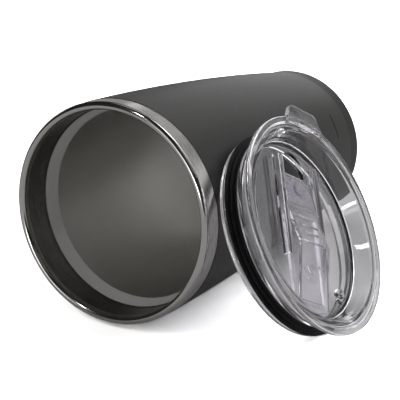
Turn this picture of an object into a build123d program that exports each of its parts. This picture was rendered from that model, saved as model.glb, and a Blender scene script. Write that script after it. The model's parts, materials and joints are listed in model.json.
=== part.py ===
from build123d import *
import os
from math import cos, radians, sin, sqrt

os.makedirs("parts", exist_ok=True)

# Vacuum-insulated tumbler lying on its side, with its clear slide-closure lid off and leaning on it.
# +Z is up, the floor is Z = 0, and the tumbler lies along Y with its mouth towards -Y. Sizes are in mm.

# ---- tumbler: depths are measured along its axis from the mouth, radii from the axis ----
body_length = 160.0
barrel_radius = 1400.0  # the side is one long arc, widest just above the mouth
barrel_crown_depth = -7.8
barrel_crown_radius = 44.59
bare_band = 8.6  # uncoated steel below the lip
foot_depth = 149.0  # where the barrel turns into the short straight foot
foot_radius = 35.4
foot_corner = 3.0
shell_wall = 0.7
coat_wall = 0.15
coat_end = 60.0  # degrees round the foot's corner at which the coat stops
bore_radius = 41.2  # straight bore that the lid's gasket grips
lip_seam = 3.0  # where the rolled lip is welded to the liner
bore_foot = 13.4
ledge_top = (40.85, 14.5)
ledge_foot = 20.2
liner_wall = 0.6
liner_bend = 1058.0  # the cup's side is one long arc too
liner_crown_depth = 14.3
liner_crown_radius = 39.08
liner_end = 140.0
liner_floor_radius = 23.0
liner_floor = 149.4
liner_corner = 9.3
copper_wall = 0.15
copper_gap = 0.05
copper_top = 24.0

# ---- base ----
ring_radius = 31.2  # inner edge of the ring that the tumbler stands on
ring_return = 3.2  # how far the sheet turns back inside that ring
plate_depth = 157.4
plate_wall = 0.7
dimple_radius = 5.0
dimple_rise = 1.6
evacuation_hole = 1.2
bead_radius = 2.8
bead_height = 1.5
bead_taper = 20.0
bead_round = 0.5
getter_radius = 5.0
getter_height = 2.6
getter_offset = 15.0
getter_round = 0.6
cap_depth = 158.9
cap_wall = 0.8
cap_chamfer = 0.3

# ---- lid: heights are measured along its axis from the rim's top face ----
rim_radius = 44.5
rim_thickness = 2.0
rim_edge = 0.9
rim_step_radius = 41.5  # inside this the top face drops a little
rim_step = 0.7
tab_reach = 4.8
tab_root_width = 25.0
tab_tip_width = 17.0
tab_root_inset = 3.2
tab_corner = 2.6
neck_top_radius = 40.5
neck_foot_radius = 39.3
recess_top_radius = 38.6
recess_floor_radius = 36.0
recess_depth = 8.9
recess_corner = 1.5
deck = 2.0
gasket_top = 9.3
gasket_foot = 13.9
groove_radius = 37.9
gasket_lips = [(10.0, 0.5), (11.7, 1.2), (13.3, 2.1)]  # height below the rim, reach beyond the neck
lip_wall = 0.5
lip_valley = 0.9
flange_radius = 40.7
flange_foot = 16.9
flange_round = 1.3
flange_top_round = 0.7
skirt_edge_round = 0.8
skirt_root_round = 1.0
skirt_radius = 36.4
sip_half_width = 7.5
sip_front = 33.6
sip_back = 23.4
vent_x, vent_y = 22.0, -23.0
vent_radius = 1.2
vent_collar = 3.2
vent_collar_height = 1.4
vent_collar_taper = 12.0

# ---- slider and its rails ----
slider_float = 0.2  # how far the slider rides above the deck
sole_half_width = 11.0
sole_wall = 1.6
sole_nose = 22.0
sole_back_radius = 34.0
ridge_half_width = 9.65
ridge_wall = 1.8
ridge_line = [(20.6, -7.2), (7.3, -6.3), (2.2, -5.1), (-7.5, -2.4), (-32.2, -6.9)]
ridge_hollow_front = 5.0
ridge_hollow_back = -30.0
ridge_tail_wall = 1.2
ridge_round = 1.2
rib_places = (-3.4, 0.2, 4.2, 8.2)
rib_radius = 0.55
rib_half_length = 5.6
arc_centre = -15.0
arc_radii = (3.0, 5.4, 7.8)
arc_width = 0.8
arc_height = 0.35
arc_sweep = (205, 130)  # start and length in degrees
rail_back, rail_front = -13.0, 29.0
rail_wall = 1.8
rail_lip = 1.0
rail_lip_wall = 1.0
rail_height = 3.2
rail_gap = 0.3
seal_half_width = 10.0
seal_back = 10.0
seal_wall = 0.8
seal_proud = 0.1
stud_y = 17.0
stud_radius = 3.1
stud_top = -5.9
stud_round = 0.8

# ---- how the two lie on the floor ----
tumbler_dip = 3.2  # the base lies lower than the mouth
mouth_x, mouth_y = -23.33, -79.02  # puts the whole's middle over the origin
lid_x, lid_y = 70.6, 41.0  # the lid's centre, from the mouth's centre
lid_tilt = 28.15  # how far the lid's top faces upwards
lid_yaw = 1.3
lid_spin = 32.0  # the tab's turn from the highest point of the rim, towards the base


def barrel(depth):
    """Radius of the outside at a depth."""
    drop = barrel_radius - sqrt(barrel_radius**2 - (depth - barrel_crown_depth) ** 2)
    return barrel_crown_radius - drop


def cup(depth):
    """Radius of the liner's inside at a depth, below the ledge."""
    drop = liner_bend - sqrt(liner_bend**2 - (depth - liner_crown_depth) ** 2)
    return liner_crown_radius - drop


def side_arc(wall, top, foot, out=0.0):
    """One of those two sides as an arc, from one depth to another."""
    middle = (top + foot) / 2
    ThreePointArc((wall(top) + out, top), (wall(middle) + out, middle), (wall(foot) + out, foot))


def foot_line(end):
    """The straight foot and its rounded corner, up to an angle round the corner."""
    hub_radius = foot_radius - foot_corner
    hub_depth = body_length - foot_corner
    Polyline((barrel(foot_depth), foot_depth), (foot_radius, foot_depth + 1), (foot_radius, hub_depth))
    CenterArc((hub_radius, hub_depth), foot_corner, 0, end)


def finish(piece, name):
    """Names a finished piece and writes it."""
    piece.part.label = name
    export_step(piece.part, f"parts/{name}.step")


# The barrel touches the floor where its side is level.
dip = radians(tumbler_dip)
touch_depth = barrel_crown_depth + barrel_radius * sin(dip)
mouth_z = touch_depth * sin(dip) + barrel(touch_depth) * cos(dip) + coat_wall
mouth_radius = barrel(bare_band)
tumbler_way = Vector(0, cos(dip), -sin(dip))
mouth = Plane(origin=(mouth_x, mouth_y, mouth_z), x_dir=(1, 0, 0), z_dir=tumbler_way)
section = Plane(origin=mouth.origin, x_dir=(1, 0, 0), z_dir=(0, sin(dip), cos(dip)))
tumbler_axis = Axis(mouth.origin, tumbler_way)

# The lid stands on the rounded edge of its lower flange.
tilt, yaw, spin = radians(lid_tilt), radians(lid_yaw), radians(lid_spin)
lid_way = Vector(cos(tilt) * cos(yaw), cos(tilt) * sin(yaw), sin(tilt))
lid_uphill = Vector(-sin(tilt) * cos(yaw), -sin(tilt) * sin(yaw), cos(tilt))
lid_along = Vector(-sin(yaw), cos(yaw), 0)
tab_way = lid_uphill * cos(spin) + lid_along * sin(spin)
lid_z = (flange_foot - flange_round) * sin(tilt) + (flange_radius - flange_round) * cos(tilt) + flange_round
lid = Plane(origin=(mouth_x + lid_x, mouth_y + lid_y, lid_z), x_dir=tab_way.cross(lid_way), z_dir=lid_way)
lid_section = Plane(origin=lid.origin, x_dir=lid.x_dir, z_dir=lid.x_dir.cross(lid_way))
lid_side = Plane(origin=lid.origin, x_dir=lid.y_dir, z_dir=lid.x_dir)
lid_axis = Axis(lid.origin, lid_way)

# ---- outer shell: one drawn steel sheet from the rolled lip to the base ring ----
lip_round = (mouth_radius - bore_radius) / 2
lip_middle = (mouth_radius + bore_radius) / 2

with BuildPart() as outer_shell:
    with BuildSketch(section):
        with BuildLine():
            Line((bore_radius, lip_seam), (bore_radius, lip_round))
            ThreePointArc((bore_radius, lip_round), (lip_middle, 0), (mouth_radius, lip_round))
            Line((mouth_radius, lip_round), (mouth_radius, bare_band))
            side_arc(barrel, bare_band, foot_depth)
            foot_line(90)
            Polyline(
                (foot_radius - foot_corner, body_length),
                (ring_radius, body_length),
                (ring_radius, body_length - ring_return),
            )
            offset(amount=shell_wall, side=Side.RIGHT)
        make_face()
    revolve(axis=tumbler_axis)
finish(outer_shell, "outer_shell")

# ---- powder coat: a thin skin from below the bare band round the foot's corner ----
with BuildPart() as powder_coat:
    with BuildSketch(section):
        with BuildLine():
            side_arc(barrel, bare_band, foot_depth)
            foot_line(coat_end)
            offset(amount=coat_wall, side=Side.RIGHT)
        make_face()
    revolve(axis=tumbler_axis)
finish(powder_coat, "powder_coat")

# ---- inner liner: bore for the gasket, the ledge under it, and the cup ----
with BuildPart() as inner_liner:
    with BuildSketch(section):
        with BuildLine():
            Polyline(
                (bore_radius, lip_seam), (bore_radius, bore_foot), ledge_top, (cup(ledge_foot), ledge_foot)
            )
            side_arc(cup, ledge_foot, liner_end)
            RadiusArc((cup(liner_end), liner_end), (liner_floor_radius, liner_floor), -liner_corner)
            Line((liner_floor_radius, liner_floor), (0, liner_floor))
            offset(amount=liner_wall, side=Side.RIGHT)
        make_face()
    revolve(axis=tumbler_axis)
finish(inner_liner, "inner_liner")

# ---- copper layer: wrapped round the liner in the vacuum, against heat radiation ----
with BuildPart() as copper_layer:
    with BuildSketch(section):
        with BuildLine():
            side_arc(cup, copper_top, liner_end, liner_wall + copper_gap)
            offset(amount=copper_wall, side=Side.RIGHT)
        make_face()
    revolve(axis=tumbler_axis)
finish(copper_layer, "copper_layer")

# ---- closing plate: welded inside the base ring, with the evacuation hole in its dimple ----
with BuildPart() as closing_plate:
    with BuildSketch(section):
        with BuildLine():
            Polyline(
                (ring_radius, plate_depth),
                (dimple_radius, plate_depth),
                (dimple_radius - dimple_rise, plate_depth - dimple_rise),
                (evacuation_hole, plate_depth - dimple_rise),
            )
            offset(amount=plate_wall, side=Side.RIGHT)
        make_face()
    revolve(axis=tumbler_axis)
finish(closing_plate, "closing_plate")

# ---- glass bead that seals the evacuation hole ----
bead_face = mouth.offset(plate_depth - dimple_rise + plate_wall)

with BuildPart() as sealing_bead:
    with BuildSketch(bead_face):
        Circle(bead_radius)
    extrude(amount=bead_height, taper=bead_taper)
    fillet(sealing_bead.edges().sort_by(tumbler_axis)[-1], radius=bead_round)
finish(sealing_bead, "sealing_bead")

# ---- getter pill on the plate's inner face ----
with BuildPart() as getter:
    with BuildSketch(mouth.offset(plate_depth)):
        with Locations((getter_offset, 0)):
            Circle(getter_radius)
    extrude(amount=-getter_height)
    fillet(getter.edges().sort_by(tumbler_axis)[0], radius=getter_round)
finish(getter, "getter")

# ---- base cap: the plain disc seen from below ----
with BuildPart() as base_cap:
    with BuildSketch(mouth.offset(cap_depth)):
        Circle(ring_radius)
    extrude(amount=cap_wall)
    chamfer(base_cap.edges().sort_by(tumbler_axis)[-1], length=cap_chamfer)
finish(base_cap, "base_cap")

# ---- lid body: rim with lift tab, recess, gasket groove, lower flange, slider rails ----
rim_top = [
    (recess_top_radius, -rim_step),
    (rim_step_radius, -rim_step),
    (rim_step_radius + rim_step, 0),
    (rim_radius, 0),
    (rim_radius, -rim_thickness),
    (neck_top_radius, -rim_thickness),
]
plug = [
    (neck_foot_radius, -gasket_top),
    (groove_radius, -gasket_top),
    (groove_radius, -gasket_foot),
    (flange_radius, -gasket_foot),
    (flange_radius, -flange_foot),
    (skirt_radius, -flange_foot),
    (skirt_radius, -recess_depth - deck),
    (0, -recess_depth - deck),
]
lid_rounds = [
    ((recess_floor_radius, -recess_depth), recess_corner),
    (rim_top[0], rim_step),
    (rim_top[3], rim_edge),
    (rim_top[4], rim_edge),
    (rim_top[5], rim_edge),
    (plug[3], flange_top_round),
    (plug[4], flange_round),
    (plug[5], skirt_edge_round),
    (plug[6], skirt_root_round),
]
deck_top = lid.offset(-recess_depth)
slot_hub = sip_front - sip_half_width
rail_face = Plane(origin=lid.origin + lid.y_dir * rail_front, x_dir=lid.x_dir, z_dir=lid.y_dir * -1)
rail_inside = sole_half_width + rail_gap
rail_top = rail_height - recess_depth

with BuildPart() as lid_body:
    with BuildSketch(lid_section) as lid_profile:
        with BuildLine():
            Polyline((0, -recess_depth), (recess_floor_radius, -recess_depth), *rim_top, *plug, close=True)
        make_face()
        for corner, radius in lid_rounds:
            fillet(lid_profile.vertices().sort_by_distance(corner)[0], radius)
    revolve(axis=lid_axis)
    with BuildSketch(lid.offset(-rim_thickness)) as tab:
        with BuildLine():
            Polyline(
                (-tab_root_width / 2, rim_radius - tab_root_inset),
                (-tab_tip_width / 2, rim_radius + tab_reach),
                (tab_tip_width / 2, rim_radius + tab_reach),
                (tab_root_width / 2, rim_radius - tab_root_inset),
                close=True,
            )
        make_face()
        fillet(tab.vertices().group_by(Axis.Y)[-1], tab_corner)
    extrude(amount=rim_thickness)
    with BuildSketch(deck_top.offset(-deck)):
        with Locations((0, slot_hub)):
            Circle(sip_half_width)
        with Locations((0, (slot_hub + sip_back) / 2)):
            Rectangle(2 * sip_half_width, slot_hub - sip_back)
    extrude(amount=deck, mode=Mode.SUBTRACT)
    with BuildSketch(rail_face):
        for turn in (-1, 1):
            with Locations((turn * (rail_inside + rail_wall / 2), rail_top - rail_height / 2)):
                Rectangle(rail_wall, rail_height)
            with Locations((turn * (rail_inside - rail_lip / 2), rail_top - rail_lip_wall / 2)):
                Rectangle(rail_lip, rail_lip_wall)
    extrude(amount=rail_front - rail_back)
    with BuildSketch(deck_top):
        with Locations((vent_x, vent_y)):
            Circle(vent_collar)
    extrude(amount=vent_collar_height, taper=vent_collar_taper)
    with BuildSketch(deck_top.offset(vent_collar_height)):
        with Locations((vent_x, vent_y)):
            Circle(vent_radius)
    extrude(amount=-vent_collar_height - deck, mode=Mode.SUBTRACT)
finish(lid_body, "lid_body")

# ---- lid gasket: black ring with three lips, stretched into the lid's groove ----
lip_line = [(neck_foot_radius, -gasket_top)]
for depth, reach in gasket_lips:
    lip_line.append((neck_foot_radius + reach, -depth + lip_wall / 2))
    lip_line.append((neck_foot_radius + reach, -depth - lip_wall / 2))
    lip_line.append((neck_foot_radius + reach - lip_valley, -depth - lip_wall))
lip_line[-1] = (neck_foot_radius + gasket_lips[-1][1] - lip_valley, -gasket_foot)

with BuildPart() as lid_gasket:
    with BuildSketch(lid_section) as gasket_profile:
        with BuildLine():
            Polyline((groove_radius, -gasket_foot), (groove_radius, -gasket_top), *lip_line, close=True)
        make_face()
    revolve(axis=lid_axis)
finish(lid_gasket, "lid_gasket")

# ---- slider: a sole under the rails and a hollow ridge for the thumb ----
sole_face = deck_top.offset(slider_float)
sole_top = slider_float + sole_wall - recess_depth
ridge_slope = Vector(0, ridge_line[3][0] - ridge_line[4][0], ridge_line[3][1] - ridge_line[4][1]).normalized()
arc_lift = (arc_centre - ridge_line[3][0]) * ridge_slope.Z / ridge_slope.Y + ridge_line[3][1]
arc_up = lid.z_dir * ridge_slope.Y - lid.y_dir * ridge_slope.Z
arc_face = Plane(
    origin=lid.origin + lid.y_dir * arc_centre + lid.z_dir * arc_lift, x_dir=lid.x_dir, z_dir=arc_up
)


def ridge_height(place):
    """Height of the ridge's top face at a place along the slider."""
    for (front, front_top), (back, back_top) in zip(ridge_line, ridge_line[1:]):
        if back <= place <= front:
            return back_top + (front_top - back_top) * (place - back) / (front - back)


with BuildPart() as slider:
    with BuildSketch(sole_face):
        with Locations((0, sole_nose - sole_half_width)):
            Circle(sole_half_width)
        with Locations((0, (sole_nose - sole_half_width - sole_back_radius) / 2)):
            Rectangle(2 * sole_half_width, sole_nose - sole_half_width + sole_back_radius)
        Circle(sole_back_radius, mode=Mode.INTERSECT)
    extrude(amount=sole_wall)
    with BuildSketch(lid_side):
        with BuildLine():
            Polyline(
                *ridge_line,
                (ridge_line[-1][0], sole_top - sole_wall),
                (ridge_line[0][0], sole_top - sole_wall),
                close=True,
            )
        make_face()
    extrude(amount=ridge_half_width, both=True)
    ridge_edges = slider.edges().filter_by(Axis(lid.origin, lid.x_dir))
    fillet(ridge_edges.sort_by(lid_axis)[-1], radius=ridge_round)
    with BuildSketch(lid_side):
        with BuildLine():
            Polyline(
                (ridge_hollow_front, ridge_height(ridge_hollow_front) - ridge_wall),
                (ridge_line[2][0], ridge_line[2][1] - ridge_wall),
                (ridge_line[3][0], ridge_line[3][1] - ridge_wall),
                (ridge_hollow_back, ridge_height(ridge_hollow_back) - ridge_tail_wall),
                (ridge_hollow_back, -recess_depth),
                (ridge_hollow_front, -recess_depth),
                close=True,
            )
        make_face()
    extrude(amount=ridge_half_width - ridge_wall, both=True, mode=Mode.SUBTRACT)
    with BuildSketch(lid_side):
        for place in rib_places:
            with Locations((place, ridge_height(place))):
                Circle(rib_radius)
    extrude(amount=rib_half_length, both=True)
    with BuildSketch(arc_face):
        for radius in arc_radii:
            with BuildLine(mode=Mode.PRIVATE) as ripple:
                CenterArc((0, 0), radius, *arc_sweep)
            trace(ripple.line, line_width=arc_width)
    extrude(amount=arc_height)
    with BuildSketch(sole_face):
        with Locations((0, sole_nose - sole_half_width)):
            Circle(seal_half_width)
        with Locations((0, seal_back / 2)):
            Rectangle(2 * sole_half_width, seal_back, mode=Mode.SUBTRACT)
    extrude(amount=seal_wall, mode=Mode.SUBTRACT)
    with BuildSketch(sole_face):
        with Locations((0, stud_y)):
            Circle(stud_radius)
    extrude(amount=stud_top + recess_depth, mode=Mode.SUBTRACT)
finish(slider, "slider")

# ---- slider seal: soft pad under the nose, held by a stud that shows above it ----
with BuildPart() as slider_seal:
    with BuildSketch(sole_face.offset(-seal_proud)):
        with Locations((0, sole_nose - sole_half_width)):
            Circle(seal_half_width)
        with Locations((0, seal_back / 2)):
            Rectangle(2 * sole_half_width, seal_back, mode=Mode.SUBTRACT)
    extrude(amount=seal_wall + seal_proud)
    with BuildSketch(sole_face):
        with Locations((0, stud_y)):
            Circle(stud_radius)
    extrude(amount=stud_top + recess_depth - slider_float)
    fillet(slider_seal.edges().sort_by(lid_axis)[-1], radius=stud_round)
finish(slider_seal, "slider_seal")
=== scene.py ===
import json
from math import cos, pi, radians, sin

import bmesh
import bpy
import numpy as np
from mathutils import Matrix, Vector


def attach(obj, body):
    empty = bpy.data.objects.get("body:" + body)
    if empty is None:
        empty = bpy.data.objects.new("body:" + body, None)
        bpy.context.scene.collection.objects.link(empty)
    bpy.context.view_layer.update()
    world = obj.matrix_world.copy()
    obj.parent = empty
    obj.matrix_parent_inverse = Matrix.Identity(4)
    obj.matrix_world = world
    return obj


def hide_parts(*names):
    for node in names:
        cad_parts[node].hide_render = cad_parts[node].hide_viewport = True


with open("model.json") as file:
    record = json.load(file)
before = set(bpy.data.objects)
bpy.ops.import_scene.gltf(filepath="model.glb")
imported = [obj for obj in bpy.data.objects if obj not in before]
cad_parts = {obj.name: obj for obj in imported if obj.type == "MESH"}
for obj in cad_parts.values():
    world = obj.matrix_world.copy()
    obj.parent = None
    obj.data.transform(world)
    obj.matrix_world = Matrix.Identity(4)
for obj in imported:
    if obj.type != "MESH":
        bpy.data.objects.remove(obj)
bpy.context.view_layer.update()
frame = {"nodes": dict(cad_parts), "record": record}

mm = 0.001
print("frame in")

# Where things are, from the frame's mounts and joints. Depths run along the tumbler from its mouth,
# and lid heights run out of the lid's top. The two mounts sit part way along their bore and plug.
mounts = {m["name"]: m for m in frame["record"]["mounts"]}
joints = {j["name"]: j for j in frame["record"]["behaviour"]["joints"]}
mouthMountDepth = 7.5235 * mm
plugMountHeight = -15.1 * mm
tumblerWay = -Vector(mounts["mouth"]["axis"]).normalized()
mouthCentre = Vector(mounts["mouth"]["pos_m"]) - tumblerWay * mouthMountDepth
lidWay = -Vector(mounts["lid_plug"]["axis"]).normalized()
lidUp = Vector(joints["slider_slide"]["axis"]).normalized()
lidAcross = lidUp.cross(lidWay).normalized()
lidCentre = Vector(mounts["lid_plug"]["pos_m"]) - lidWay * plugMountHeight


# camera
camera = {
    "lens": 113.09,
    "place": (0.24216, -0.45621, 0.20524),
    "looks": (-0.48456, 0.81617, -0.31476),
}
camData = bpy.data.cameras.new("camera")
camData.lens = camera["lens"]
camData.sensor_width = 36
camData.clip_start, camData.clip_end = 0.01, 50
cam = bpy.data.objects.new("camera", camData)
cam.location = camera["place"]
cam.rotation_mode = "QUATERNION"
cam.rotation_quaternion = Vector(camera["looks"]).to_track_quat("-Z", "Y")
bpy.context.collection.objects.link(cam)
bpy.context.scene.camera = cam
bpy.context.scene.view_settings.view_transform = "Standard"
bpy.context.scene.cycles.glossy_bounces = 12


# material helpers
# a node with its settings, and each input set or linked
def addNode(tree, kind, inputs=None, **settings):
    made = tree.nodes.new(kind)
    for key, value in settings.items():
        setattr(made, key, value)
    for key, value in (inputs or {}).items():
        if isinstance(value, bpy.types.NodeSocket):
            tree.links.new(value, made.inputs[key])
        else:
            made.inputs[key].default_value = value
    return made


def newMaterial(name):
    mat = bpy.data.materials.new(name)
    mat.use_nodes = True
    return mat, mat.node_tree, mat.node_tree.nodes["Principled BSDF"]


def setInputs(tree, shader, inputs):
    for key, value in inputs.items():
        if isinstance(value, bpy.types.NodeSocket):
            tree.links.new(value, shader.inputs[key])
        else:
            shader.inputs[key].default_value = value


# one Math node's result
def sumOf(tree, operation, a, b=None, c=None):
    made = tree.nodes.new("ShaderNodeMath")
    made.operation = operation
    for slot, value in enumerate((a, b, c)):
        if isinstance(value, bpy.types.NodeSocket):
            tree.links.new(value, made.inputs[slot])
        elif value is not None:
            made.inputs[slot].default_value = value
    return made.outputs[0]


# one Vector Math node's result
def vectorOf(tree, operation, a, b=None, scale=None):
    made = tree.nodes.new("ShaderNodeVectorMath")
    made.operation = operation
    for slot, value in enumerate((a, b)):
        if isinstance(value, bpy.types.NodeSocket):
            tree.links.new(value, made.inputs[slot])
        elif value is not None:
            made.inputs[slot].default_value = value
    if isinstance(scale, bpy.types.NodeSocket):
        tree.links.new(scale, made.inputs["Scale"])
    elif scale is not None:
        made.inputs["Scale"].default_value = scale
    return made.outputs["Value" if operation in ("DOT_PRODUCT", "LENGTH") else "Vector"]


# the place on the piece, which is the frame's own place
def objectPlace(tree):
    return addNode(tree, "ShaderNodeTexCoord").outputs["Object"]


# depth, radius and direction round an axis, in metres: p - centre = depth * way + radius * around
def turnedPlace(tree, centre, way):
    away = vectorOf(tree, "SUBTRACT", objectPlace(tree), tuple(centre))
    depth = vectorOf(tree, "DOT_PRODUCT", away, tuple(way))
    out = vectorOf(tree, "SUBTRACT", away, vectorOf(tree, "SCALE", tuple(way), scale=depth))
    return depth, vectorOf(tree, "LENGTH", out), vectorOf(tree, "NORMALIZE", out)


# coordinates that run fast along a turned surface's profile and slowly round it
def turnedStreaks(tree, centre, way, fine, long):
    depth, radius, around = turnedPlace(tree, centre, way)
    profile = sumOf(tree, "SUBTRACT", depth, radius)
    along = vectorOf(tree, "SCALE", tuple(way), scale=sumOf(tree, "MULTIPLY", profile, fine))
    return vectorOf(tree, "ADD", along, vectorOf(tree, "SCALE", around, scale=long)), depth


def noise(tree, vector, scale, detail=3.0, roughness=0.5):
    made = addNode(tree, "ShaderNodeTexNoise", {"Scale": scale, "Detail": detail, "Roughness": roughness})
    if vector is not None:
        tree.links.new(vector, made.inputs["Vector"])
    return made.outputs["Fac"]


def remap(tree, value, low, high, outLow, outHigh, kind="LINEAR"):
    made = addNode(tree, "ShaderNodeMapRange", {"Value": value, "From Min": low, "From Max": high,
                                                "To Min": outLow, "To Max": outHigh}, interpolation_type=kind)
    return made.outputs[0]


def bump(tree, height, strength, distance, under=None):
    made = addNode(tree, "ShaderNodeBump", {"Height": height, "Strength": strength, "Distance": distance})
    if under is not None:
        tree.links.new(under, made.inputs["Normal"])
    return made.outputs["Normal"]


def blendColours(tree, factor, a, b):
    made = tree.nodes.new("ShaderNodeMix")
    made.data_type = "RGBA"
    for key, value in ((0, factor), (6, a), (7, b)):
        if isinstance(value, bpy.types.NodeSocket):
            tree.links.new(value, made.inputs[key])
        else:
            made.inputs[key].default_value = value
    return made.outputs[2]


# gives a frame node a material
def dress(node, mat):
    slots = frame["nodes"][node].material_slots
    for slot in slots:
        slot.link = "OBJECT"
        slot.material = mat


# steel
steel = {
    "colour": (0.56, 0.545, 0.53, 1),
    # the bore is the same steel as the rest, painted darker: painted shade
    "boreShadeColour": (0.26, 0.255, 0.245, 1),
    # the ledge is the same steel painted pale: painted light
    "ledgeLitColour": (0.95, 0.94, 0.92, 1),
    # the cup is the same steel painted paler than the band, to lift its sheen: painted light
    "cupSheenColour": (0.80, 0.79, 0.772, 1),
    "lipRoughness": 0.13, "bandRoughness": 0.28, "boreRoughness": 0.26, "ledgeRoughness": 0.5,
    "cupRoughness": 0.33, "plateRoughness": 0.34,
    "lipBrushing": 0.15, "bandBrushing": 1.0, "boreBrushing": 0.6, "cupBrushing": 0.3,
    "ledgeLitMetal": 0.1,          # the ledge is the same steel, painted pale and mostly non-metal so that it shows as a bright ring: painted light
    "ledgeTop": 14.3 * mm, "ledgeFoot": 20.3 * mm,
    "lipEnd": 1.5 * mm, "zoneBlur": 0.2 * mm,
    "streaksPerMetre": 5200, "streaksRound": 9, "streakDepth": 0.006 * mm, "streakShade": 0.18,
    "cloudsPerMetre": 38,
}


# Steel brushed round the tumbler's axis, in zones along its depth.
# Each zone is (start depth, colour, roughness, brushing, share of metal).
def brushedSteel(name, zones):
    mat, tree, shader = newMaterial(name)
    vector, depth = turnedStreaks(tree, mouthCentre, tumblerWay, steel["streaksPerMetre"],
                                  steel["streaksRound"])
    streaks = noise(tree, vector, 1.0, 4.0, 0.6)
    broad = noise(tree, objectPlace(tree), steel["cloudsPerMetre"], 3)
    tone, rough, brushing, metal = zones[0][1:]
    for begin, colour, roughness, amount, share in zones[1:]:
        step = remap(tree, depth, begin - steel["zoneBlur"], begin + steel["zoneBlur"], 0, 1, "SMOOTHSTEP")
        tone = blendColours(tree, step, tone, colour)
        rough = remap(tree, step, 0, 1, rough, roughness)
        brushing = remap(tree, step, 0, 1, brushing, amount)
        metal = remap(tree, step, 0, 1, metal, share)
    grain = sumOf(tree, "MULTIPLY", remap(tree, streaks, 0.3, 0.7, -0.07, 0.08), brushing)
    rough = sumOf(tree, "ADD", sumOf(tree, "ADD", rough, grain), remap(tree, broad, 0.35, 0.65, -0.02, 0.03))
    darker = remap(tree, streaks, 0.32, 0.68, -steel["streakShade"], 0.0)
    shade = sumOf(tree, "ADD", 1.0, sumOf(tree, "MULTIPLY", darker, brushing))
    tone = vectorOf(tree, "SCALE", tone if len(zones) > 1 else tone[:3], scale=shade)  # a vector has no alpha
    setInputs(tree, shader, {"Base Color": tone, "Metallic": metal, "Roughness": rough,
                             "Normal": bump(tree, streaks, sumOf(tree, "MULTIPLY", brushing, 0.35),
                                            steel["streakDepth"])})
    return mat


dress("outer_shell", brushedSteel("band_steel", [
    (0, steel["colour"], steel["lipRoughness"], steel["lipBrushing"], 1.0),
    (steel["lipEnd"], steel["colour"], steel["bandRoughness"], steel["bandBrushing"], 1.0)]))
dress("inner_liner", brushedSteel("liner_steel", [
    # bore: the steel painted darker, painted shade
    (0, steel["boreShadeColour"], steel["boreRoughness"], steel["boreBrushing"], 1.0),
    # ledge: the steel painted pale and mostly non-metal, painted light
    (steel["ledgeTop"], steel["ledgeLitColour"], steel["ledgeRoughness"], steel["cupBrushing"],
     steel["ledgeLitMetal"]),
    # cup: the steel painted paler, painted sheen
    (steel["ledgeFoot"], steel["cupSheenColour"], steel["cupRoughness"], steel["cupBrushing"], 1.0)]))
plateSteel = brushedSteel("base_steel", [
    (0, steel["colour"], steel["plateRoughness"], steel["boreBrushing"], 1.0)])
dress("base_cap", plateSteel)
dress("closing_plate", plateSteel)

# the copper wrap, getter and bead, which stay hidden inside
inside = {
    "copperColour": (0.80, 0.42, 0.26, 1), "copperRoughness": 0.25,
    "wrinklesPerMetre": 900, "wrinklesRound": 40, "wrinkleDepth": 0.05 * mm,
    "getterColour": (0.30, 0.30, 0.31, 1), "getterRoughness": 0.55,
    "grainsPerMetre": 3200, "grainDepth": 0.04 * mm,
    "beadColour": (0.72, 0.80, 0.78, 1), "beadRoughness": 0.08,
    "swirlsPerMetre": 700, "swirlDepth": 0.02 * mm,
}
mat, tree, shader = newMaterial("copper_wrap")
vector, depth = turnedStreaks(tree, mouthCentre, tumblerWay, inside["wrinklesPerMetre"],
                              inside["wrinklesRound"])
wrinkles = noise(tree, vector, 1.0, 3.0, 0.55)
rough = remap(tree, wrinkles, 0.3, 0.7, inside["copperRoughness"], inside["copperRoughness"] + 0.15)
setInputs(tree, shader, {"Base Color": inside["copperColour"], "Metallic": 1.0, "Roughness": rough,
                         "Normal": bump(tree, wrinkles, 0.4, inside["wrinkleDepth"])})
dress("copper_layer", mat)

mat, tree, shader = newMaterial("getter_pill")
grains = noise(tree, objectPlace(tree), inside["grainsPerMetre"], 2.0)
rough = remap(tree, grains, 0.3, 0.7, inside["getterRoughness"], inside["getterRoughness"] + 0.15)
setInputs(tree, shader, {"Base Color": inside["getterColour"], "Metallic": 0.8, "Roughness": rough,
                         "Normal": bump(tree, grains, 0.5, inside["grainDepth"])})
dress("getter", mat)

mat, tree, shader = newMaterial("bead_glass")
swirl = noise(tree, objectPlace(tree), inside["swirlsPerMetre"], 2.0)
rough = remap(tree, swirl, 0.3, 0.7, inside["beadRoughness"], inside["beadRoughness"] + 0.1)
setInputs(tree, shader, {"Base Color": inside["beadColour"], "Transmission Weight": 0.9, "IOR": 1.5,
                         "Roughness": rough, "Normal": bump(tree, swirl, 0.2, inside["swirlDepth"])})
dress("sealing_bead", mat)


# powder coat
coat = {
    "colour": (0.034, 0.034, 0.0315, 1),
    "paler": (0.040, 0.040, 0.0375, 1),
    "roughness": 0.50, "shine": 0.45,
    "pebblesPerMetre": 2600, "pebbleDepth": 0.03 * mm,
    "peelPerMetre": 420, "peelDepth": 0.02 * mm,
    "cloudsPerMetre": 24,
    # a plain engraved line near the foot, with its turn in degrees above level on the lid's side
    "lineDepth": 133.9 * mm, "lineHalfWidth": 0.42 * mm, "lineBlur": 0.1 * mm,
    "lineTurn": 26.5, "lineHalfTurn": 8.6, "lineEndBlur": 0.5, "lineCut": 3.0,
    "lineColour": (0.002, 0.002, 0.002, 1), "lineRoughness": 0.95,
}
mat, tree, shader = newMaterial("powder_coat_fine")
spot = objectPlace(tree)
pebbles = noise(tree, spot, coat["pebblesPerMetre"], 2.0, 0.55)
orangePeel = noise(tree, spot, coat["peelPerMetre"], 2.0)
cloud = noise(tree, spot, coat["cloudsPerMetre"], 4.0)
tone = blendColours(tree, remap(tree, cloud, 0.35, 0.65, 0, 1), coat["colour"], coat["paler"])
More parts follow.
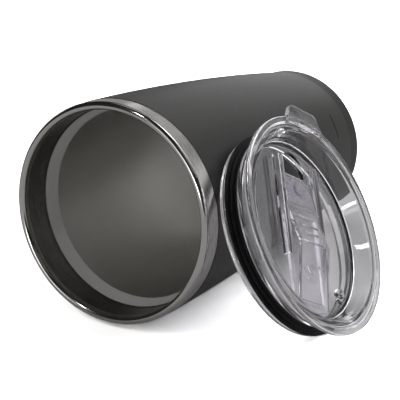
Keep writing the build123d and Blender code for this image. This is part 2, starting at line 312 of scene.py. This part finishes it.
rough = remap(tree, pebbles, 0.3, 0.7, coat["roughness"] - 0.05, coat["roughness"] + 0.07)
depth, radius, around = turnedPlace(tree, mouthCentre, tumblerWay)
level = Vector((1, 0, 0))
lineTurn = radians(coat["lineTurn"])
lineWay = level * cos(lineTurn) + level.cross(tumblerWay) * sin(lineTurn)
offLine = sumOf(tree, "ABSOLUTE", sumOf(tree, "SUBTRACT", depth, coat["lineDepth"]))
inWidth = remap(tree, offLine, coat["lineHalfWidth"] - coat["lineBlur"],
                coat["lineHalfWidth"] + coat["lineBlur"], 1, 0, "SMOOTHSTEP")
inTurn = remap(tree, vectorOf(tree, "DOT_PRODUCT", around, tuple(lineWay)),
               cos(radians(coat["lineHalfTurn"] + coat["lineEndBlur"])),
               cos(radians(coat["lineHalfTurn"] - coat["lineEndBlur"])), 0, 1)
engraved = sumOf(tree, "MULTIPLY", inWidth, inTurn)
tone = blendColours(tree, engraved, tone, coat["lineColour"])
rough = addNode(tree, "ShaderNodeMix", {0: engraved, 2: rough, 3: coat["lineRoughness"]}).outputs[0]
height = sumOf(tree, "SUBTRACT", pebbles, sumOf(tree, "MULTIPLY", engraved, coat["lineCut"]))
normal = bump(tree, height, 0.5, coat["pebbleDepth"], bump(tree, orangePeel, 0.25, coat["peelDepth"]))
setInputs(tree, shader, {"Base Color": tone, "Roughness": rough, "Normal": normal,
                         "Specular IOR Level": coat["shine"]})
dress("powder_coat", mat)


# surfaces
# Corners of a profile, each rounded by its own radius, with rings added close beside each round.
# Each round is an arc: centre + radius * (cos a, sin a), with a going between its two tangent points.
def roundedProfile(corners, rounds, closed, spacing=1.5, arcSteps=10):
    corners = np.array(corners, float)
    count = len(corners)
    pieces = []
    for i in range(count):
        here, radius = corners[i], rounds.get(i, 0.0)
        if not closed and i in (0, count - 1):
            pieces.append(here[None])
            continue
        toBefore = corners[i - 1] - here
        toAfter = corners[(i + 1) % count] - here
        toBefore /= np.linalg.norm(toBefore)
        toAfter /= np.linalg.norm(toAfter)
        if radius == 0:
            pieces.append(np.array([here + toBefore * 0.03, here, here + toAfter * 0.03]))
            continue
        halfAngle = np.arccos(np.clip(toBefore @ toAfter, -1, 1)) / 2
        reach = radius / np.tan(halfAngle)
        middle = here + (toBefore + toAfter) / np.linalg.norm(toBefore + toAfter) * radius / np.sin(halfAngle)
        start, end = here + toBefore * reach - middle, here + toAfter * reach - middle
        startAngle = np.arctan2(start[1], start[0])
        turn = (np.arctan2(end[1], end[0]) - startAngle + pi) % (2 * pi) - pi
        angle = startAngle + turn * np.linspace(0, 1, arcSteps)
        arc = middle + radius * np.stack([np.cos(angle), np.sin(angle)], 1)
        pieces.append(np.vstack([arc[:1] + toBefore * 0.05, arc, arc[-1:] + toAfter * 0.05]))
    runs = []
    for i, piece in enumerate(pieces):
        runs.append(piece)
        if closed or i < count - 1:
            start, end = piece[-1], pieces[(i + 1) % count][0]
            steps = max(int(np.linalg.norm(end - start) / spacing), 1)
            runs.append(start + (end - start) * (np.arange(1, steps) / steps)[:, None])
    return np.vstack(runs)


def meshObject(name, points, faces):
    mesh = bpy.data.meshes.new(name)
    mesh.from_pydata(points.tolist(), [], faces.tolist() if isinstance(faces, np.ndarray) else faces)
    mesh.update()
    made = bpy.data.objects.new(name, mesh)
    bpy.context.collection.objects.link(made)
    return made


# A profile of (radius, height) in mm turned round an axis:
# point(i, t) = centre + height_i * way + radius_i * (across * cos t + up * sin t), t from 0 to 2 pi.
# A profile that isn't closed starts and ends on the axis, where each end is one shared point.
def turnedSurface(name, profile, centre, across, up, way, turns=288, closed=True):
    profile = np.asarray(profile) * mm
    centre, across, up, way = (np.array(v) for v in (centre, across, up, way))
    t = np.linspace(0, 2 * pi, turns, endpoint=False)
    rings = profile if closed else profile[1:-1]
    around = across * np.cos(t)[:, None] + up * np.sin(t)[:, None]
    points = centre + rings[:, 1, None, None] * way + rings[:, 0, None, None] * around
    points = points.reshape(-1, 3)
    last = len(rings) if closed else len(rings) - 1
    i, j = np.meshgrid(np.arange(last), np.arange(turns), indexing="ij")
    nextRing, nextTurn = (i + 1) % len(rings), (j + 1) % turns
    faces = np.stack([i * turns + j, i * turns + nextTurn,
                      nextRing * turns + nextTurn, nextRing * turns + j], -1).reshape(-1, 4).tolist()
    if not closed:
        poles = centre + profile[[0, -1], 1, None] * way
        first, final = len(points), len(points) + 1
        points = np.vstack([points, poles])
        ring = np.arange(turns)
        ringNext = (ring + 1) % turns
        lastRing = (len(rings) - 1) * turns
        faces += np.stack([np.full(turns, first), ringNext, ring], 1).tolist()
        faces += np.stack([np.full(turns, final), lastRing + ring, lastRing + ringNext], 1).tolist()
    return pointOutwards(meshObject(name, points, faces))


# An outline in the lid's plane carried along an axis:
# point(i, k) = origin + a_i * first + b_i * second + height_k * way
def prism(name, outline, heights, origin, first, second, way):
    outline = np.asarray(outline) * mm
    origin, first, second, way = (np.array(v) for v in (origin, first, second, way))
    flat = origin + outline[:, 0, None] * first + outline[:, 1, None] * second
    points = np.vstack([flat + way * heights[0] * mm, flat + way * heights[1] * mm])
    count = len(outline)
    side = np.arange(count)
    after = (side + 1) % count
    faces = np.stack([side, after, after + count, side + count], 1).tolist()
    faces += [list(range(count))[::-1], list(range(count, 2 * count))]
    return pointOutwards(meshObject(name, points, faces))


def pointOutwards(piece):
    work = bmesh.new()
    work.from_mesh(piece.data)
    bmesh.ops.recalc_face_normals(work, faces=work.faces)
    work.to_mesh(piece.data)
    work.free()
    return piece


# joins or cuts with other pieces, which are used up
def combine(piece, others, operation):
    for other in others:
        step = piece.modifiers.new("combine", "BOOLEAN")
        step.object, step.operation, step.solver = other, operation, "EXACT"
    return bakeModifiers(piece, others)


def bakeModifiers(piece, others=()):
    bpy.context.view_layer.update()
    baked = bpy.data.meshes.new_from_object(piece.evaluated_get(bpy.context.evaluated_depsgraph_get()))
    piece.modifiers.clear()
    piece.data = baked
    for other in others:
        bpy.data.objects.remove(other)
    return piece


def bevelEdges(piece, width, segments=3, angle=30):
    step = piece.modifiers.new("bevel", "BEVEL")
    step.width, step.segments, step.angle_limit = width * mm, segments, radians(angle)
    step.limit_method = "ANGLE"
    return bakeModifiers(piece)


def smoothUpTo(piece, angle):
    mesh = piece.data
    mesh.polygons.foreach_set("use_smooth", np.ones(len(mesh.polygons), bool))
    mesh.set_sharp_from_angle(angle=radians(angle))
    mesh.update()


def finishPiece(piece, body, mat):
    piece.data.materials.clear()
    piece.data.materials.append(mat)
    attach(piece, body)


# lid body
lid = {
    "rim": 44.5, "rimThick": 2.0, "rimEdge": 0.9,
    "stepRadius": 41.5, "step": 0.7, "stepRound": 0.25, "lipRound": 0.7,
    "recessTop": 38.6, "recessFloor": 36.0, "recessDepth": 8.9, "recessCorner": 1.5,
    "neckTop": 40.5, "neckFoot": 39.3, "neckRound": 0.9,
    "gasketTop": 9.3, "gasketFoot": 13.9, "groove": 37.9, "grooveRound": 0.15,
    "flange": 40.7, "flangeFoot": 16.9, "flangeTopRound": 0.7, "flangeRound": 1.3,
    "skirt": 36.4, "skirtRound": 0.8, "skirtRoot": 1.0, "deck": 2.0,
    "tabRoot": 25.0, "tabTip": 17.0, "tabReach": 4.8, "tabCorner": 2.6, "tabInset": 3.2, "tabBevel": 0.45,
    "sipHalf": 7.5, "sipFront": 33.6, "sipBack": 23.4,
    "ventPlace": (22.0, -23.0), "ventHole": 1.2, "ventCollar": 3.2, "ventHeight": 1.4,
    "collarTaper": 0.3, "collarRound": 0.4,
    "railInside": 11.3, "railWall": 1.8, "railLip": 1.0, "railLipWall": 1.0, "railHeight": 3.2,
    "railBack": -13.0, "railFront": 29.0, "railBevel": 0.22,
    "sink": 0.3, "collarSink": 0.5,     # how far joined pieces reach into the deck
    "cutPast": 1.0,                     # how far the cuts reach past both faces
}
floorHeight = -lid["recessDepth"]
deckFoot = floorHeight - lid["deck"]
# the turned profile as (radius, height, round), from the recess over the rim to the neck, flange and deck
profile = [
    (0, floorHeight, 0), (lid["recessFloor"], floorHeight, lid["recessCorner"]),
    (lid["recessTop"], -lid["step"], lid["lipRound"]),
    (lid["stepRadius"], -lid["step"], lid["stepRound"]),
    (lid["stepRadius"] + lid["step"], 0, lid["stepRound"]),
    (lid["rim"], 0, lid["rimEdge"]), (lid["rim"], -lid["rimThick"], lid["rimEdge"]),
    (lid["neckTop"], -lid["rimThick"], lid["neckRound"]),
    (lid["neckFoot"], -lid["gasketTop"], lid["grooveRound"]),
    (lid["groove"], -lid["gasketTop"], lid["grooveRound"]),
    (lid["groove"], -lid["gasketFoot"], lid["grooveRound"]),
    (lid["flange"], -lid["gasketFoot"], lid["flangeTopRound"]),
    (lid["flange"], -lid["flangeFoot"], lid["flangeRound"]),
    (lid["skirt"], -lid["flangeFoot"], lid["skirtRound"]), (lid["skirt"], deckFoot, lid["skirtRoot"]),
    (0, deckFoot, 0),
]
corners = [(radius, height) for radius, height, bend in profile]
rounds = {number: bend for number, (radius, height, bend) in enumerate(profile) if bend}
lidProfile = roundedProfile(corners, rounds, False)
lidBody = turnedSurface("lid_body_fine", lidProfile, lidCentre, lidAcross, lidUp, lidWay, closed=False)

tabRootY, tabTipY = lid["rim"] - lid["tabInset"], lid["rim"] + lid["tabReach"]
tabOutline = roundedProfile([
    (-lid["tabRoot"] / 2, tabRootY), (-lid["tabTip"] / 2, tabTipY),
    (lid["tabTip"] / 2, tabTipY), (lid["tabRoot"] / 2, tabRootY),
], {1: lid["tabCorner"], 2: lid["tabCorner"]}, True, spacing=40)
tab = prism("tab", tabOutline, (-lid["rimThick"], 0), lidCentre, lidAcross, lidUp, lidWay)
tab = bevelEdges(tab, lid["tabBevel"])

railTop = lid["railHeight"] + floorHeight
rails = []
for side in (-1, 1):
    inner, outer = side * lid["railInside"], side * (lid["railInside"] + lid["railWall"])
    lip = side * (lid["railInside"] - lid["railLip"])
    section = [(outer, floorHeight - lid["sink"]), (outer, railTop), (lip, railTop),
               (lip, railTop - lid["railLipWall"]), (inner, railTop - lid["railLipWall"]),
               (inner, floorHeight - lid["sink"])]
    rail = prism(f"rail_{side}", section, (lid["railBack"], lid["railFront"]), lidCentre, lidAcross, lidWay,
                 lidUp)
    rails.append(bevelEdges(rail, lid["railBevel"], 2))

sipHub = lid["sipFront"] - lid["sipHalf"]
turn = np.linspace(0, pi, 33)
sipOutline = np.vstack([np.stack([lid["sipHalf"] * np.cos(turn), sipHub + lid["sipHalf"] * np.sin(turn)], 1),
                        [(-lid["sipHalf"], lid["sipBack"]), (lid["sipHalf"], lid["sipBack"])]])
sipCut = prism("sip_cut", sipOutline, (deckFoot - lid["cutPast"], floorHeight + lid["cutPast"]), lidCentre,
               lidAcross, lidUp, lidWay)

ventX, ventY = lid["ventPlace"]
ventCentre = lidCentre + (lidAcross * ventX + lidUp * ventY) * mm
collarTop = floorHeight + lid["ventHeight"]
collarProfile = roundedProfile([
    (0, floorHeight - lid["collarSink"]), (lid["ventCollar"], floorHeight - lid["collarSink"]),
    (lid["ventCollar"], floorHeight),
    (lid["ventCollar"] - lid["collarTaper"], collarTop), (0, collarTop)], {3: lid["collarRound"]}, False, 3)
collar = turnedSurface("collar", collarProfile, ventCentre, lidAcross, lidUp, lidWay, 64, False)
ventFoot, ventTop = deckFoot - lid["cutPast"], collarTop + lid["cutPast"]
ventProfile = [(0, ventFoot), (lid["ventHole"], ventFoot), (lid["ventHole"], ventTop), (0, ventTop)]
ventCut = turnedSurface("vent_cut", ventProfile, ventCentre, lidAcross, lidUp, lidWay, 48, False)
lidBody = combine(lidBody, [tab, collar] + rails, "UNION")
lidBody = combine(lidBody, [sipCut, ventCut], "DIFFERENCE")
smoothUpTo(lidBody, 28)
print("lid body shaped,", len(lidBody.data.polygons), "faces")


# clear plastic
clear = {
    "colour": (0.95, 0.938, 0.965, 1),
    "ior": 1.54,
    "roughness": 0.015,
    "lidClearness": 0.985,          # the rest is a faint milkiness
    "sliderColour": (0.92, 0.90, 0.95, 1), "sliderRoughness": 0.04, "sliderClearness": 0.91,
    "wavesPerMetre": 70, "waveDepth": 0.25 * mm,
    "hairsPerMetre": (2600, 420, 900), "hairRoughness": 0.12,
}


# moulded clear plastic with faint flow waves and hairline scratches
def clearPlastic(name, colour, roughness, clearness):
    mat, tree, shader = newMaterial(name)
    spot = objectPlace(tree)
    waves = noise(tree, spot, clear["wavesPerMetre"], 2.0)
    hairs = noise(tree, vectorOf(tree, "MULTIPLY", spot, clear["hairsPerMetre"]), 1.0, 2.0)
    rough = remap(tree, hairs, 0.62, 0.78, roughness, roughness + clear["hairRoughness"])
    setInputs(tree, shader, {"Base Color": colour, "Roughness": rough, "Transmission Weight": clearness,
                             "IOR": clear["ior"], "Normal": bump(tree, waves, 0.35, clear["waveDepth"])})
    return mat


lidPlastic = clearPlastic("lid_plastic", clear["colour"], clear["roughness"], clear["lidClearness"])
finishPiece(lidBody, "lid", lidPlastic)
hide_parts("lid_body")
dress("slider", clearPlastic("slider_plastic_fine", clear["sliderColour"], clear["sliderRoughness"],
                             clear["sliderClearness"]))

# the gasket's rubber and the slider's soft seal
soft = {
    "rubberColour": (0.004, 0.004, 0.0045, 1), "rubberRoughness": (0.52, 0.66), "rubberShine": 0.2,
    "rubberGrains": 1800,
    "sealColour": (0.88, 0.85, 0.93, 1), "sealRoughness": (0.25, 0.38), "sealClearness": 0.5, "sealIor": 1.41,
    "sealGrains": 900,
    "grainDepth": 0.02 * mm,
}
mat, tree, shader = newMaterial("gasket_rubber")
grain = noise(tree, objectPlace(tree), soft["rubberGrains"], 2.0)
setInputs(tree, shader, {"Base Color": soft["rubberColour"], "Specular IOR Level": soft["rubberShine"],
                         "Roughness": remap(tree, grain, 0.3, 0.7, *soft["rubberRoughness"]),
                         "Normal": bump(tree, grain, 0.3, soft["grainDepth"])})
dress("lid_gasket", mat)

mat, tree, shader = newMaterial("seal_silicone")
grain = noise(tree, objectPlace(tree), soft["sealGrains"], 2.0)
setInputs(tree, shader, {"Base Color": soft["sealColour"], "Transmission Weight": soft["sealClearness"],
                         "IOR": soft["sealIor"],
                         "Roughness": remap(tree, grain, 0.3, 0.7, *soft["sealRoughness"]),
                         "Normal": bump(tree, grain, 0.2, soft["grainDepth"])})
dress("slider_seal", mat)
print("materials done")


# floor, world and lights
studio = {
    "floorColour": (0.55, 0.55, 0.55, 1), "floorHalf": 3.0,
    "floorExposure": 12.0,      # how much brighter the paper is exposed than the piece on it
    "backdrop": 1.2,            # the white behind the paper's far edge
    "floorThroughLid": 0.015,   # share of that exposure seen through the clear plastic
    "floorInSteel": 0.08,       # and mirrored in the steel
    "fill": 0.02,               # light from all round
    "throughLid": 0.78,         # the room that shows through the clear plastic
    "lightDistance": 2.0, "lightAim": (0, 0, 45 * mm),
    # turn from the front towards the lid's side, height in degrees, width, height in metres, brightness
    "lights": [
        (0, 4, 0.5, 0.5, 3.1), (-15, 4, 0.5, 0.5, 1.7), (-15, 19, 0.5, 0.5, 0.7), (60, 42, 0.5, 1.0, 0.38),
        (75, 4, 0.5, 0.5, 0.6), (105, 4, 0.5, 0.5, 4.3), (105, 27, 0.5, 1.0, 0.84), (105, 49, 0.5, 0.5, 1.3),
        (140, 37, 1.0, 0.85, 0.74), (140, 64, 1.0, 0.85, 2.8), (150, 12, 1.9, 0.85, 0.4),
        (195, 12, 1.05, 0.85, 1.86), (180, 37, 1.0, 0.85, 0.42), (220, 64, 1.0, 0.85, 0.5),
        (225, 12, 1.05, 0.85, 0.37), (255, 12, 1.05, 0.85, 0.83),
        (-20, 44, 0.12, 0.4, 20.0), (7, 3, 0.35, 0.12, 17.0),
    ],
}
floorMesh = bpy.data.meshes.new("floor")
half = studio["floorHalf"]
floorMesh.from_pydata([(-half, -half, 0), (half, -half, 0), (half, half, 0), (-half, half, 0)], [],
                      [(0, 1, 2, 3)])
floor = bpy.data.objects.new("floor", floorMesh)
bpy.context.collection.objects.link(floor)
mat, tree, shader = newMaterial("floor_paper")
setInputs(tree, shader, {"Base Color": studio["floorColour"], "Roughness": 0.9, "Specular IOR Level": 0.1})
path = addNode(tree, "ShaderNodeLightPath")
bright = tuple(v * studio["floorExposure"] for v in studio["floorColour"][:3]) + (1,)
exposed = addNode(tree, "ShaderNodeBsdfDiffuse", {"Color": bright})
seen = sumOf(tree, "ADD", path.outputs["Is Camera Ray"],
             sumOf(tree, "MULTIPLY", path.outputs["Is Transmission Ray"], studio["floorThroughLid"]))
seen = sumOf(tree, "MULTIPLY_ADD", path.outputs["Is Glossy Ray"], studio["floorInSteel"], seen)
mixed = addNode(tree, "ShaderNodeMixShader", {0: seen, 1: shader.outputs[0], 2: exposed.outputs[0]})
tree.links.new(mixed.outputs[0], tree.nodes["Material Output"].inputs["Surface"])
floorMesh.materials.append(mat)

world = bpy.data.worlds.new("world")
bpy.context.scene.world = world
world.use_nodes = True
tree = world.node_tree
back = tree.nodes["Background"]
back.inputs["Color"].default_value = (1, 1, 1, 1)
path = addNode(tree, "ShaderNodeLightPath")
strength = remap(tree, path.outputs["Is Transmission Ray"], 0, 1, studio["fill"], studio["throughLid"])
strength = sumOf(tree, "MULTIPLY_ADD", path.outputs["Is Camera Ray"], studio["backdrop"], strength)
tree.links.new(strength, back.inputs["Strength"])


# a flat light at a turn and a height round the piece, facing it
def softBox(name, turn, height, wide, tall, brightness):
    turn, height = radians(turn), radians(height)
    away = Vector((sin(turn) * cos(height), -cos(turn) * cos(height), sin(height)))
    data = bpy.data.lights.new(name, "AREA")
    data.shape = "RECTANGLE"
    data.size, data.size_y = wide, tall
    data.energy = brightness * pi * wide * tall
    lamp = bpy.data.objects.new(name, data)
    lamp.location = Vector(studio["lightAim"]) + away * studio["lightDistance"]
    lamp.rotation_mode = "QUATERNION"
    lamp.rotation_quaternion = (-away).to_track_quat("-Z", "Y")
    bpy.context.collection.objects.link(lamp)


for number, light in enumerate(studio["lights"]):
    softBox(f"light_{number}", *light)
print("studio done")
